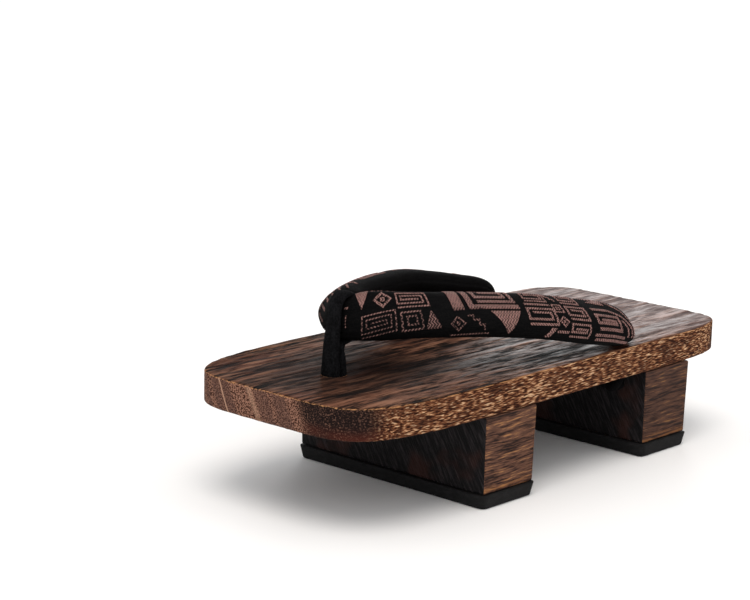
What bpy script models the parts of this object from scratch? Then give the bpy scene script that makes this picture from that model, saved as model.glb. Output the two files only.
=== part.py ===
"""A geta sandal: a thong-strap clog of burnt paulownia on two glued teeth with rubber treads.

The board is a rounded rectangle with three holes. A padded fabric strap runs from one rear hole,
round a nose above the toe hole, to the other rear hole. A padded loop holds the nose down. The
strap's and the loop's cords pass through the board and end in plain knots beneath it.

Frame: the floor is z = 0, under the middle of the board. +Y points to the toe, +X to the wearer's
right. All sizes are in metres.
"""

import math

import bmesh
import bpy
from mathutils import Vector

FIT_GAP = 0.0003  # between pieces that touch

BOARD_LENGTH = 0.265
TOE_WIDTH = 0.1172  # the board's width at its toe
HEEL_WIDTH = 0.1144  # and at its heel
BOARD_THICKNESS = 0.0145
BOARD_ARRIS = 0.0010

TOOTH_HEIGHT = 0.035
TOOTH_THICKNESS = 0.035
TOOTH_NEAR_INSET = 0.0001  # from the board's near side to the tooth's end
TOOTH_FAR_INSET = 0.0042  # and from its far side, where the tooth falls short
TOOTH_TAPER = 0.0006  # how far the foot draws in from the top, all round
TOOTH_ARRIS = 0.0008
TOE_OVERHANG = 0.0763  # from the board's toe to the front tooth
HEEL_OVERHANG = 0.0361  # from the board's heel to the rear tooth

TREAD_THICKNESS = 0.0063
TREAD_LIP = 0.0012  # how far the tread's top edge stands out round the tooth's foot
TREAD_TAPER = 0.0011  # how far its bottom edge draws in from there
TREAD_CORNER = 0.0025
TREAD_ARRIS = 0.0005

TOE_HOLE_SETBACK = 0.0415  # from the board's toe to the hole's centre
REAR_HOLE_INSET = 0.0135  # from the board's side to the hole's centre
HOLE_CLEARANCE = 0.0006  # round a cord in its hole

STRAP_WIDTH = 0.0280
STRAP_THICKNESS = 0.0135
STRAP_LIFT = 0.0170  # the highest the strap's underside stands off the board
NOSE_SETBACK = 0.0054  # from the toe hole back to the middle of the strap's nose

CORD_RADIUS = 0.0040
REAR_KNOT_RADIUS = 0.0070
REAR_KNOT_DEPTH = 0.0095
KNOT_TO_TOOTH = 0.0014  # from the rear knots to the tooth behind them

LOOP_WIDTH = 0.0100
LOOP_THICKNESS = 0.0038
POST_RADIUS = 0.0050
POST_SHOULDER = 0.0010  # from the strap's underside at the nose down to the top of the post
TOE_KNOT_RADIUS = 0.0092
TOE_KNOT_DEPTH = 0.0100

BOARD_POINTS = 112  # round the board's outline
RING_POINTS = 20  # round the strap
STRAP_STEPS = 4  # rings between two rows of the strap's table
HEADING_FINENESS = 20  # the strap's heading is read over two of so many shares of a row
LOOP_RING_POINTS = 16
HOLE_SIDES = 32
ARRIS_STEPS = 2
TREAD_CORNER_STEPS = 4

# In degrees: edges sharper than shaded are drawn as edges, and those sharper than eased are given
# an arris; where the strap dips more steeply than turned_down, it keeps its heading
ANGLES = {"shaded": 35, "eased": 40, "turned_down": 35}

# The exponent of each outline and section: 2 is an ellipse, 10 nearly a rectangle
SQUARENESS = {"toe": 5.4, "heel": 8.0, "strap": 2.6, "loop": 2.4, "post": 2.2, "cord": 2}


def board_side(y):
    """The board's half width at y, before its corners round off."""
    toeward = (y + BOARD_LENGTH / 2) / BOARD_LENGTH
    return (HEEL_WIDTH + (TOE_WIDTH - HEEL_WIDTH) * toeward) / 2


# Places that follow from the sizes above
BOARD_UNDERSIDE = TREAD_THICKNESS + FIT_GAP + TOOTH_HEIGHT + FIT_GAP
FOOTBED = BOARD_UNDERSIDE + BOARD_THICKNESS
TOE_END = BOARD_LENGTH / 2
FRONT_TOOTH_FACE = TOE_END - TOE_OVERHANG
REAR_TOOTH_FACE = -TOE_END + HEEL_OVERHANG + TOOTH_THICKNESS
TOE_HOLE = Vector((0, TOE_END - TOE_HOLE_SETBACK, 0))
REAR_HOLE_Y = REAR_TOOTH_FACE + KNOT_TO_TOOTH + REAR_KNOT_RADIUS
REAR_HOLE = Vector((REAR_HOLE_INSET - board_side(REAR_HOLE_Y), REAR_HOLE_Y, 0))

# The strap's near half, from the nose to the rear hole. Each row is one section across the pad:
# out and along place its middle, as shares of the way from the nose's middle to the rear hole;
# lift is its underside's height over the board, as a share of STRAP_LIFT; dip is how steeply the
# strap runs down there and tilt how far its outer edge hangs below its inner one, in degrees;
# width and thickness are shares of the strap's. The last row lies flat on the board.
STRAP_SECTIONS = (
    # out, along, lift, dip, tilt, width, thickness
    (0.000, 0.000, 0.90, 0, 84, 0.64, 0.58),
    (0.130, 0.018, 0.89, 0, 74, 0.73, 0.76),
    (0.275, 0.072, 0.92, 0, 52, 0.80, 0.85),
    (0.455, 0.155, 0.97, 1, 36, 0.84, 0.88),
    (0.755, 0.360, 0.90, 6, 25, 0.92, 0.92),
    (0.960, 0.560, 0.68, 9, 25, 0.97, 0.95),
    (1.045, 0.755, 0.33, 13, 26, 1.00, 1.00),
    (1.050, 0.890, 0.12, 20, 27, 1.00, 0.96),
    (1.048, 0.970, 0.04, 38, 32, 0.97, 0.93),
    (1.032, 1.014, 0.02, 62, 42, 0.89, 0.89),
    (1.012, 1.018, 0.02, 80, 48, 0.80, 0.82),
    (1.000, 1.000, 0.00, 90, 52, 0.52, 0.54),
)

# The loop's middle line round the strap's nose, from the post up the front, over the top and down
# the back: ahead and above are shares of the nose's half thickness and half width there, each with
# the gap and half the loop added; breadth is a share of LOOP_WIDTH.
LOOP_PATH = (
    # ahead, above, breadth
    (0.94, -1.62, 0.70),
    (1.00, -1.15, 0.92),
    (1.00, -0.55, 1.00),
    (1.00, 0.10, 1.00),
    (0.86, 0.62, 1.00),
    (0.50, 0.93, 1.00),
    (0.00, 1.00, 0.98),
    (-0.50, 0.92, 0.94),
    (-0.86, 0.60, 0.88),
    (-1.00, 0.05, 0.84),
    (-0.98, -0.45, 0.82),
    (-0.72, -0.90, 0.80),
    (-0.16, -1.10, 0.76),
    (0.40, -1.24, 0.60),
)

# The head of the post below the strap's nose: drop is a share of the way down to the board, across
# and ahead are shares of the post's radius
POST_HEAD = (
    # drop, across, ahead
    (0.00, 0.70, 0.72),
    (0.10, 0.88, 0.90),
    (0.25, 0.96, 0.98),
    (0.60, 0.96, 0.98),
)

# A knot below the board: depth is a share of the knot's depth and girth a share of its radius
KNOT_PROFILE = (
    # depth, girth
    (0.00, 0.84),
    (0.12, 0.97),
    (0.36, 1.00),
    (0.62, 0.90),
    (0.86, 0.62),
    (1.00, 0.30),
)

MATERIALS = {
    # base colour, roughness
    "board_wood": ((0.105, 0.052, 0.034, 1), 0.48),
    "tooth_wood": ((0.062, 0.030, 0.020, 1), 0.60),
    "tread_rubber": ((0.010, 0.010, 0.011, 1), 0.72),
    "strap_fabric": ((0.020, 0.017, 0.018, 1), 0.90),
    "loop_fabric": ((0.012, 0.012, 0.013, 1), 0.95),
}


def clear_scene():
    for obj in list(bpy.data.objects):
        bpy.data.objects.remove(obj, do_unlink=True)


def make_collection(name, hidden=False):
    collection = bpy.data.collections.new(name)
    collection.hide_render = hidden
    bpy.context.scene.collection.children.link(collection)
    return collection


def make_material(name):
    colour, roughness = MATERIALS[name]
    material = bpy.data.materials.new(name)
    material.use_nodes = True
    material.diffuse_color = colour
    shader = material.node_tree.nodes["Principled BSDF"]
    shader.inputs["Base Color"].default_value = colour
    shader.inputs["Roughness"].default_value = roughness
    shader.inputs["Metallic"].default_value = 0.0
    return material


def make_object(name, mesh, collection, material=None):
    obj = bpy.data.objects.new(name, mesh)
    collection.objects.link(obj)
    if material:
        mesh.materials.append(material)
    mesh.shade_smooth()
    mesh.set_sharp_from_angle(angle=math.radians(ANGLES["shaded"]))
    return obj


def make_cutter(name, mesh, collection):
    cutter = make_object(name, mesh, collection)
    cutter.hide_render = True
    cutter.display_type = "WIRE"
    return cutter


def add_boolean(obj, other, operation):
    boolean = obj.modifiers.new(operation.title(), "BOOLEAN")
    boolean.operation = operation
    boolean.object = other


def add_bevel(obj, width):
    bevel = obj.modifiers.new("Arris", "BEVEL")
    bevel.width = width
    bevel.segments = ARRIS_STEPS
    bevel.limit_method = "ANGLE"
    bevel.angle_limit = math.radians(ANGLES["eased"])


def loft(name, rings, cap_first=True):
    """A mesh through rings of equally many points, with its last end capped."""
    solid = bmesh.new()
    rows = [[solid.verts.new(point) for point in ring] for ring in rings]
    count = len(rows[0])
    for near, far in zip(rows, rows[1:]):
        for i in range(count):
            j = (i + 1) % count
            solid.faces.new((near[i], near[j], far[j], far[i]))
    solid.faces.new(rows[-1])
    if cap_first:
        solid.faces.new(reversed(rows[0]))
    bmesh.ops.recalc_face_normals(solid, faces=solid.faces)
    mesh = bpy.data.meshes.new(name)
    solid.to_mesh(mesh)
    solid.free()
    return mesh


def read_smoothly(rows, place):
    """A row read between the rows of a table, on a Catmull-Rom curve through them."""
    i = max(1, min(int(place), len(rows) - 3))
    t = place - i
    weights = (
        ((-t + 2) * t - 1) * t / 2,
        ((3 * t - 5) * t * t + 2) / 2,
        ((-3 * t + 4) * t + 1) * t / 2,
        (t - 1) * t * t / 2,
    )
    near = rows[i - 1 : i + 3]
    return [sum(w * value for w, value in zip(weights, column)) for column in zip(*near)]


def power(value, exponent):
    return math.copysign(abs(value) ** exponent, value)


def superellipse(half_wide, half_deep, squareness, count):
    """Points of a rounded flat section, evenly spread by angle, from +wide towards +deep."""
    points = []
    for i in range(count):
        angle = 2 * math.pi * i / count
        wide = half_wide * power(math.cos(angle), 2 / squareness)
        deep = half_deep * power(math.sin(angle), 2 / squareness)
        points.append((wide, deep))
    return points


def ring(centre, wide_axis, deep_axis, half_wide, half_deep, squareness, count):
    section = superellipse(half_wide, half_deep, squareness, count)
    return [centre + wide_axis * wide + deep_axis * deep for wide, deep in section]


def round_ring(centre, wide_axis, deep_axis, radius):
    return ring(centre, wide_axis, deep_axis, radius, radius, SQUARENESS["cord"], RING_POINTS)


def knot_rings(hole, wide_axis, deep_axis, cord_radius, knot_radius, knot_depth):
    """Rings from where a cord leaves the board's underside, round the knot that ends it."""
    under = BOARD_UNDERSIDE - FIT_GAP
    sizes = [(0, cord_radius)]
    sizes += [(depth * knot_depth, girth * knot_radius) for depth, girth in KNOT_PROFILE]
    rings = []
    for down, radius in sizes:
        centre = Vector((hole.x, hole.y, under - down))
        rings.append(round_ring(centre, wide_axis, deep_axis, radius))
    return rings


def board_outline():
    """A rounded rectangle, squarer at the heel, with its points spread evenly along it."""
    half = BOARD_POINTS * 20
    toe = superellipse(1, TOE_END, SQUARENESS["toe"], 2 * half)
    heel = superellipse(1, TOE_END, SQUARENESS["heel"], 2 * half)
    dense = [(x * board_side(y), y) for x, y in toe[:half] + heel[half:]]
    lengths = [0.0]
    for here, after in zip(dense, dense[1:] + dense[:1]):
        lengths.append(lengths[-1] + math.dist(here, after))
    outline = []
    place = 0
    for i in range(BOARD_POINTS):
        wanted = lengths[-1] * i / BOARD_POINTS
        while lengths[place + 1] < wanted:
            place += 1
        share = (wanted - lengths[place]) / (lengths[place + 1] - lengths[place])
        here = Vector(dense[place])
        after = Vector(dense[(place + 1) % len(dense)])
        outline.append(here.lerp(after, share))
    return outline


def hole_cutter(name, centre, radius, cutters):
    cut = bmesh.new()
    bmesh.ops.create_cone(
        cut, cap_ends=True, segments=HOLE_SIDES, radius1=radius, radius2=radius,
        depth=2 * BOARD_THICKNESS,
    )
    middle = (centre.x, centre.y, FOOTBED - BOARD_THICKNESS / 2)
    bmesh.ops.translate(cut, verts=cut.verts, vec=middle)
    mesh = bpy.data.meshes.new(name)
    cut.to_mesh(mesh)
    cut.free()
    return make_cutter(name, mesh, cutters)


def make_board(parts, cutters):
    """The footbed board: a flat plank with its arris eased and three holes for the strap."""
    faces = [
        [Vector((x, y, height)) for x, y in board_outline()]
        for height in (BOARD_UNDERSIDE, FOOTBED)
    ]
    board = make_object("board", loft("board", faces), parts, make_material("board_wood"))
    add_bevel(board, BOARD_ARRIS)
    post_hole = POST_RADIUS + HOLE_CLEARANCE
    cord_hole = CORD_RADIUS + HOLE_CLEARANCE
    holes = (
        ("toe_hole", TOE_HOLE, post_hole),
        ("near_hole", REAR_HOLE, cord_hole),
        ("far_hole", Vector((-REAR_HOLE.x, REAR_HOLE.y, 0)), cord_hole),
    )
    for name, centre, radius in holes:
        add_boolean(board, hole_cutter(name, centre, radius, cutters), "DIFFERENCE")


def tooth_footprint(face, draw_in):
    """A tooth's corners in plan, low and high, drawn in all round from its top."""
    back = face - TOOTH_THICKNESS
    side = board_side((face + back) / 2)
    low = (TOOTH_NEAR_INSET - side + draw_in, back + draw_in)
    high = (side - TOOTH_FAR_INSET - draw_in, face - draw_in)
    return low, high


def tapered_block(top, top_height, foot, foot_height):
    """A bmesh block between two rectangles, each given by its low and high corner."""
    solid = bmesh.new()
    bmesh.ops.create_cube(solid, size=1)
    for vert in solid.verts:
        low, high = top if vert.co.z > 0 else foot
        vert.co.x = high[0] if vert.co.x > 0 else low[0]
        vert.co.y = high[1] if vert.co.y > 0 else low[1]
        vert.co.z = top_height if vert.co.z > 0 else foot_height
    return solid


def make_tooth(name, face, parts, material):
    """A crosswise block glued under the board."""
    top = tooth_footprint(face, 0)
    foot = tooth_footprint(face, TOOTH_TAPER)
    low = TREAD_THICKNESS + FIT_GAP
    solid = tapered_block(top, low + TOOTH_HEIGHT, foot, low)
    mesh = bpy.data.meshes.new(name)
    solid.to_mesh(mesh)
    solid.free()
    add_bevel(make_object(name, mesh, parts, material), TOOTH_ARRIS)


def make_tread(name, face, parts, material):
    """A rubber sheet glued under a tooth; its top edge stands out as a lip."""
    top = tooth_footprint(face, TOOTH_TAPER - TREAD_LIP)
    foot = tooth_footprint(face, TOOTH_TAPER - TREAD_LIP + TREAD_TAPER)
    solid = tapered_block(top, TREAD_THICKNESS, foot, 0)
    upright = [edge for edge in solid.edges if edge.verts[0].co.z != edge.verts[1].co.z]
    bmesh.ops.bevel(
        solid, geom=upright, offset=TREAD_CORNER, segments=TREAD_CORNER_STEPS, profile=0.5,
        affect="EDGES",
    )
    mesh = bpy.data.meshes.new(name)
    solid.to_mesh(mesh)
    solid.free()
    add_bevel(make_object(name, mesh, parts, material), TREAD_ARRIS)


def section_half_height(half_wide, half_deep, tilt, dip):
    """Half the height of a tilted superellipse section."""
    dual = SQUARENESS["strap"] / (SQUARENESS["strap"] - 1)
    wide = abs(half_wide * math.sin(tilt) * math.cos(dip))
    deep = abs(half_deep * math.cos(tilt) * math.cos(dip))
    return (wide**dual + deep**dual) ** (1 / dual)


def strap_sections():
    """The strap's sections from the nose on: centre, heading in plan, and their other columns."""
    nose = TOE_HOLE.y - NOSE_SETBACK
    rows = []
    for out, along, lift, dip, tilt, width, thickness in STRAP_SECTIONS:
        rows.append(
            (
                out * REAR_HOLE.x,
                nose + along * (REAR_HOLE.y - nose),
                lift * STRAP_LIFT,
                math.radians(dip),
                math.radians(tilt),
                width * STRAP_WIDTH / 2,
                thickness * STRAP_THICKNESS / 2,
            )
        )
    beyond = (-rows[1][0],) + rows[1][1:]
    after = tuple(2 * last - before for last, before in zip(rows[-1], rows[-2]))
    return [beyond] + rows + [after]


def strap_frame(heading, dip, tilt):
    """The wide and the deep axis of a section that faces along heading and dips."""
    outward = Vector((heading.y, -heading.x, 0))
    run = Vector((heading.x * math.cos(dip), heading.y * math.cos(dip), -math.sin(dip)))
    up = outward.cross(run)
    wide = outward * math.cos(tilt) - up * math.sin(tilt)
    deep = outward * math.sin(tilt) + up * math.cos(tilt)
    return wide, deep


def strap_rings():
    """The strap's rings from the nose to its end on the board, then down its cord to the knot."""
    table = strap_sections()
    steps = (len(STRAP_SECTIONS) - 1) * STRAP_STEPS
    heading = Vector((-1, 0, 0))
    turned_down = math.radians(ANGLES["turned_down"])
    reach = 1 / HEADING_FINENESS
    rings = []
    for i in range(steps + 1):
        place = 1 + i / STRAP_STEPS
        x, y, lift, dip, tilt, half_wide, half_deep = read_smoothly(table, place)
        if i > 0 and dip < turned_down:
            before = read_smoothly(table, place - reach)
            after = read_smoothly(table, place + reach)
            heading = Vector((after[0] - before[0], after[1] - before[1], 0)).normalized()
        rise = max(lift, FIT_GAP) + section_half_height(half_wide, half_deep, tilt, dip)
        centre = Vector((x, y, FOOTBED + rise))
        wide, deep = strap_frame(heading, dip, tilt)
        rings.append(
            ring(centre, wide, deep, half_wide, half_deep, SQUARENESS["strap"], RING_POINTS)
        )
    rings.append(round_ring(centre, wide, deep, CORD_RADIUS))
    rings += knot_rings(REAR_HOLE, wide, deep, CORD_RADIUS, REAR_KNOT_RADIUS, REAR_KNOT_DEPTH)
    return rings


def make_strap(parts, loop_clearance):
    """The padded thong strap: one half from the nose to its knot, mirrored and notched."""
    mesh = loft("strap", strap_rings(), cap_first=False)
    strap = make_object("strap", mesh, parts, make_material("strap_fabric"))
    mirror = strap.modifiers.new("Other side", "MIRROR")
    mirror.use_axis = (True, False, False)
    mirror.use_clip = True
    mirror.merge_threshold = 0.0001
    add_boolean(strap, loop_clearance, "DIFFERENCE")


def nose_section():
    """The strap's section at the nose: its middle, half width and half thickness."""
    x, y, lift, dip, tilt, half_wide, half_deep = strap_sections()[1]
    rise = lift + section_half_height(half_wide, half_deep, tilt, dip)
    return Vector((x, y, FOOTBED + rise)), half_wide, half_deep


def band_rings(extra):
    """The loop's band round the nose, swollen by extra."""
    nose, half_tall, half_thick = nose_section()
    half_band = LOOP_THICKNESS / 2
    ahead_size = half_thick + FIT_GAP + half_band
    above_size = half_tall + FIT_GAP + half_band
    path = [(0, ahead * ahead_size, above * above_size) for ahead, above, _ in LOOP_PATH]
    points = [nose + Vector(place) for place in path]
    rings = []
    for i, (point, row) in enumerate(zip(points, LOOP_PATH)):
        before = points[max(i - 1, 0)]
        after = points[min(i + 1, len(points) - 1)]
        run = (after - before).normalized()
        across = Vector((1, 0, 0))
        outward = across.cross(run)
        half_wide = row[2] * LOOP_WIDTH / 2 + extra
        half_deep = half_band + extra
        rings.append(
            ring(
                point, across, outward, half_wide, half_deep, SQUARENESS["loop"],
                LOOP_RING_POINTS,
            )
        )
    return rings


def post_rings(extra):
    """The loop's two ends stitched together, from below the strap down to the knot."""
    nose, half_tall, _ = nose_section()
    shoulder = nose.z - half_tall - POST_SHOULDER
    across = Vector((1, 0, 0))
    ahead = Vector((0, 1, 0))
    radius = POST_RADIUS + extra
    rings = []
    for drop, half_x, half_y in POST_HEAD:
        height = shoulder + extra - drop * (shoulder - FOOTBED)
        centre = Vector((TOE_HOLE.x, TOE_HOLE.y, height))
        half_wide = radius * half_x
        half_deep = radius * half_y
        rings.append(
            ring(centre, across, ahead, half_wide, half_deep, SQUARENESS["post"], RING_POINTS)
        )
    rings += knot_rings(TOE_HOLE, across, ahead, radius, TOE_KNOT_RADIUS, TOE_KNOT_DEPTH)
    return rings


def make_loop(parts, cutters):
    """The toe loop: a padded band over the strap's nose, joined to its post, and its clearance."""
    clear_band = make_cutter("loop_clearance", loft("loop_clearance", band_rings(FIT_GAP)), cutters)
    clear_post = make_cutter("post_clearance", loft("post_clearance", post_rings(FIT_GAP)), cutters)
    add_boolean(clear_band, clear_post, "UNION")
    post = make_cutter("post", loft("post", post_rings(0)), cutters)
    material = make_material("loop_fabric")
    loop = make_object("toe_loop", loft("toe_loop", band_rings(0)), parts, material)
    add_boolean(loop, post, "UNION")
    return clear_band


def main():
    clear_scene()
    parts = make_collection("geta_sandal")
    cutters = make_collection("cutters", hidden=True)
    make_board(parts, cutters)
    tooth_wood = make_material("tooth_wood")
    tread_rubber = make_material("tread_rubber")
    for end, face in (("front", FRONT_TOOTH_FACE), ("rear", REAR_TOOTH_FACE)):
        make_tooth(end + "_tooth", face, parts, tooth_wood)
        make_tread(end + "_tread", face, parts, tread_rubber)
    loop_clearance = make_loop(parts, cutters)
    make_strap(parts, loop_clearance)


main()
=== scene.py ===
"""A geta sandal of burnt, brushed paulownia with rubber treads and a woven thong strap."""
import math

import bmesh
import bpy
import numpy as np
from mathutils import Matrix, Vector


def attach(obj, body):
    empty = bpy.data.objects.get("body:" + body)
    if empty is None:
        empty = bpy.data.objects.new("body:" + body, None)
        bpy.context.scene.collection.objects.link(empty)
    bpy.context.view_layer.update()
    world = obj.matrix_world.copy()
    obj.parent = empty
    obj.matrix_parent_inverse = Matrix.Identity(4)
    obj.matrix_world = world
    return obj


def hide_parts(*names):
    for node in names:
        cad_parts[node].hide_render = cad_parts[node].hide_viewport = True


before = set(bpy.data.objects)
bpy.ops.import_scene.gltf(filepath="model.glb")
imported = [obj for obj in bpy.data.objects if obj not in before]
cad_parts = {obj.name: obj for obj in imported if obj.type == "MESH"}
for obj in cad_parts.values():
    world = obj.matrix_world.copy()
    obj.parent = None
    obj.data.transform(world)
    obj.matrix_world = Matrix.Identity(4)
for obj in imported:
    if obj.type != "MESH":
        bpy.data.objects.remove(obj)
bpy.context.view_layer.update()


# The board
# One plank of paulownia, charred with a torch, brushed along the grain so that the hard rings
# stand proud, and oiled. It is darker round the post, worn to bare wood along its arris, and its
# face is painted paler towards the heel as a painted sheen.
BOARD_LENGTH = 0.265
TOE_WIDTH = 0.1172
HEEL_WIDTH = 0.1144
TOE_SQUARENESS = 5.4
HEEL_SQUARENESS = 8.0
FOOTBED = 0.0564
BOARD_UNDERSIDE = 0.0419
BOARD_ARRIS = 0.0009
TOE_HOLE = Vector((0, 0.0910, 0))
REAR_HOLE = Vector((-0.04412, -0.0530, 0))
CORD_RADIUS = 0.0040
POST_RADIUS = 0.0050
HOLE_CLEARANCE = 0.0006
HOLE_SIDES = 48
DRILL_LENGTH = 0.06
GRAIN_DEPTH = 0.00034
BRUSHED = 0.0004  # more than the brush takes off the face
COLUMNS = 148
ROWS = 156
ARRIS_TURNS = np.radians((30, 60, 90))
SIDE_LEVELS = (0.25, 0.42, 0.58, 0.75)  # shares of the way down the board's side
CENTIMETRES = 100  # to a metre


class Value:
    """A socket that carries a value through a finish; sums on it add Math nodes."""

    def __init__(self, finish, socket):
        self.finish = finish
        self.socket = socket

    def math(self, operation, *others):
        inputs = dict(enumerate((self,) + others))
        return self.finish.node("Math", {"operation": operation}, inputs)

    def __add__(self, other):
        return self.math("ADD", other)

    __radd__ = __add__

    def __mul__(self, other):
        return self.math("MULTIPLY", other)

    __rmul__ = __mul__

    def __sub__(self, other):
        return self.math("SUBTRACT", other)

    def __rsub__(self, other):
        return self.finish.node("Math", {"operation": "SUBTRACT"}, {0: other, 1: self})

    def __truediv__(self, other):
        return self.math("DIVIDE", other)

    def size(self):
        return self.math("ABSOLUTE")

    def wave(self):
        return self.math("SINE")

    def zigzag(self):
        return self.math("PINGPONG", 1.0)

    def between(self, low, high):
        """0 at low and 1 at high, with a soft start and end."""
        settings = {"interpolation_type": "SMOOTHSTEP"}
        return self.finish.node("MapRange", settings, {0: self, 1: low, 2: high, 3: 0, 4: 1})


class Finish:
    """The material of one piece, built node by node round a Principled shader."""

    def __init__(self, name, **constants):
        self.material = bpy.data.materials.new(name)
        self.material.use_nodes = True
        self.tree = self.material.node_tree
        self.shader = self.tree.nodes["Principled BSDF"]
        for socket, value in constants.items():
            self.shader.inputs[socket.replace("_", " ")].default_value = value

    def node(self, kind, settings=None, inputs=None, output=0):
        made = self.tree.nodes.new("ShaderNode" + kind)
        for key, value in (settings or {}).items():
            setattr(made, key, value)
        for key, value in (inputs or {}).items():
            self.feed(made.inputs[key], value)
        return Value(self, made.outputs[output])

    def feed(self, socket, value):
        if isinstance(value, Value):
            self.tree.links.new(value.socket, socket)
        else:
            socket.default_value = value

    def set(self, **values):
        for socket, value in values.items():
            self.feed(self.shader.inputs[socket.replace("_", " ")], value)

    def place(self):
        """Where a point lies in the frame, as x, y and z in metres."""
        return self.split(self.node("TexCoord", output="Object"))

    def facing(self):
        """Which way the surface faces, as x, y and z."""
        return self.split(self.node("NewGeometry", output="Normal"))

    def read(self, name):
        """A value that the mesh carries from point to point."""
        return self.node("Attribute", {"attribute_name": name}, output="Fac")

    def cloth(self):
        """Where a point lies on the cloth, along and across it, in centimetres."""
        return self.split(self.node("UVMap", {"uv_map": "cloth"}))[:2]

    def split(self, vector):
        node = self.node("SeparateXYZ", inputs={0: vector}).socket.node
        return [Value(self, node.outputs[axis]) for axis in "XYZ"]

    def join(self, x, y, z=0.0):
        return self.node("CombineXYZ", inputs={0: x, 1: y, 2: z})

    def noise(self, place, detail=2.0, rough=0.5):
        inputs = {"Vector": place, "Scale": 1.0, "Detail": detail, "Roughness": rough}
        return self.node("TexNoise", inputs=inputs, output="Fac")

    def specks(self, across, along, up, detail=2.0, rough=0.5, sway=0.0):
        """Noise whose specks are about so large each way, in metres, and swayed sideways."""
        x, y, z = self.place()
        spot = self.join((x + sway) / across, y / along, (z + sway) / up)
        return self.noise(spot, detail, rough)

    def mix(self, share, low, high):
        """Two colours mixed by a share."""
        return self.node("Mix", {"data_type": "RGBA"}, {0: share, 6: low, 7: high}, output=2)

    def bump(self, height, depth, strength=1.0):
        """Raises the surface by height, which runs from 0 to 1, times depth."""
        made = self.node("Bump", inputs={"Height": height, "Distance": depth, "Strength": strength})
        self.set(Normal=made)


def colour(red, green, blue):
    """A colour given as it looks on a screen, from 0 to 255."""
    shares = [part / 255 for part in (red, green, blue)]
    return tuple(s / 12.92 if s <= 0.04045 else ((s + 0.055) / 1.055) ** 2.4 for s in shares) + (1,)


def make_piece(name, points, faces, finish, marks=None):
    """A smooth piece that rides with the sandal; marks are its points' places on the cloth."""
    mesh = bpy.data.meshes.new(name)
    mesh.from_pydata([tuple(point) for point in points], [], faces)
    if marks is not None:
        layer = mesh.uv_layers.new(name="cloth")
        corners = np.zeros(len(mesh.loops), int)
        mesh.loops.foreach_get("vertex_index", corners)
        spots = np.asarray(marks)[corners] * CENTIMETRES
        layer.data.foreach_set("uv", spots.astype(np.float32).ravel())
    mesh.materials.append(finish.material)
    mesh.shade_smooth()
    mesh.update()
    piece = bpy.data.objects.new(name, mesh)
    bpy.context.scene.collection.objects.link(piece)
    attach(piece, "root")
    return piece


def streaks(x, y, wide, long, seed):
    """Smooth random streaks from 0 to 1, so wide across the board and so long along it."""
    table = np.random.default_rng(seed).random((256, 256))
    count = len(table)
    column, row = x / wide, y / long
    i, j = np.floor(column).astype(int), np.floor(row).astype(int)
    across, along = column - i, row - j
    across, along = across**2 * (3 - 2 * across), along**2 * (3 - 2 * along)

    def strip(k):
        here = table[i % count, (j + k) % count]
        there = table[(i + 1) % count, (j + k) % count]
        return here + (there - here) * across

    return strip(0) + (strip(1) - strip(0)) * along


def grain_height(x, y):
    """How high the brushed grain stands, from 0 in a groove to 1 on a ridge."""
    x = x + 0.005 * (streaks(x, y, 0.020, 0.070, 1) - 0.5)
    rings = streaks(x, y, 0.0036, 0.075, 2)
    ridges = streaks(x, y, 0.0019, 0.016, 3)
    fray = streaks(x, y, 0.0012, 0.0050, 4)
    return np.clip((0.36 * rings + 0.42 * ridges + 0.22 * fray - 0.24) / 0.52, 0, 1)


def board_spots(across, along, inset):
    """Places on the board for a square's points: its outline bent to the board's."""
    edge = np.maximum(np.maximum(np.abs(across), np.abs(along)), 1e-6)
    squareness = np.where(along > 0, TOE_SQUARENESS, HEEL_SQUARENESS)
    corner = np.abs(across / edge) ** squareness + np.abs(along / edge) ** squareness
    pull = 1 + edge**8 * (corner ** (-1 / squareness) - 1)
    y = along * pull * (BOARD_LENGTH / 2 - inset)
    half_width = (HEEL_WIDTH + (TOE_WIDTH - HEEL_WIDTH) * (y / BOARD_LENGTH + 0.5)) / 2
    return across * pull * (half_width - inset), y


def drill(plank):
    """Cuts the toe hole and the two rear holes through the plank."""
    drills = bmesh.new()
    far_hole = Vector((-REAR_HOLE.x, REAR_HOLE.y, 0))
    for hole, cord in ((TOE_HOLE, POST_RADIUS), (REAR_HOLE, CORD_RADIUS), (far_hole, CORD_RADIUS)):
        radius = cord + HOLE_CLEARANCE
        bmesh.ops.create_cone(
            drills, cap_ends=True, segments=HOLE_SIDES, radius1=radius, radius2=radius,
            depth=DRILL_LENGTH, matrix=Matrix.Translation((hole.x, hole.y, FOOTBED)),
        )
    mesh = bpy.data.meshes.new("drills")
    drills.to_mesh(mesh)
    drills.free()
    cutter = bpy.data.objects.new("drills", mesh)
    bpy.context.scene.collection.objects.link(cutter)
    cut = plank.modifiers.new("holes", "BOOLEAN")
    cut.operation = "DIFFERENCE"
    cut.solver = "EXACT"
    cut.object = cutter
    drilled = plank.evaluated_get(bpy.context.evaluated_depsgraph_get())
    solid = plank.data
    plank.data = bpy.data.meshes.new_from_object(drilled)
    plank.modifiers.clear()
    bpy.data.meshes.remove(solid)
    bpy.data.objects.remove(cutter)
    bpy.data.meshes.remove(mesh)


def brush(mesh):
    """Sinks the soft wood between the hard rings, and keeps the grain for the finish to read."""
    spots = np.zeros((len(mesh.vertices), 3))
    mesh.vertices.foreach_get("co", spots.ravel())
    grain = grain_height(spots[:, 0], spots[:, 1])
    near_face = np.clip((spots[:, 2] - FOOTBED + BOARD_ARRIS) / BOARD_ARRIS, 0, 1)
    spots[:, 2] -= near_face * GRAIN_DEPTH * (1 - grain)
    mesh.vertices.foreach_set("co", spots.ravel())
    layer = mesh.attributes.new("grain", "FLOAT", "POINT")
    layer.data.foreach_set("value", grain.astype(np.float32))


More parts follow.
